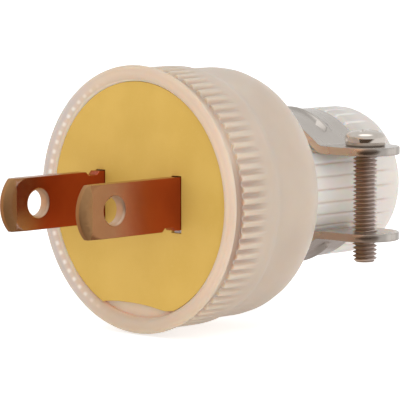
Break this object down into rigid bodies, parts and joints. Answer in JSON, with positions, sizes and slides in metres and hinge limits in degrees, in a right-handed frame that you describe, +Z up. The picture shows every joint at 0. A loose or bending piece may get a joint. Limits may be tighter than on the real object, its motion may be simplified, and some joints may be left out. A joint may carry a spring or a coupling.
{
  "type": "electrical plug",
  "caption": "Straight-blade electrical plug cap with a translucent ribbed body, a fibre card over its face, copper-coloured blades and a screwed cord clamp.",
  "frame": {"origin": "centre of the front rim's face, midway between the blades", "axes": "+Y along the plug's axis towards the cord, the blades point to -Y; +Z up along the blades' width; +X towards the clamp's screw"},
  "size_m": [0.0329, 0.0557, 0.0322],
  "materials": {
    "cap": "soft translucent vinyl, pale beige",
    "card": "smooth yellow fibre card",
    "block": "white, moulded",
    "blade": "copper-coloured, rolled",
    "band": "nickel-plated",
    "screw": "nickel-plated"
  },
  "bodies": {
    "root": {"cap_body": "cap", "insulating_card": "card", "terminal_block": "block", "blade_right": "blade", "blade_left": "blade", "terminal_screw_right": "screw", "terminal_screw_left": "screw", "cord_band": "band", "clamp_screw": "screw"}
  },
  "joints": []
}
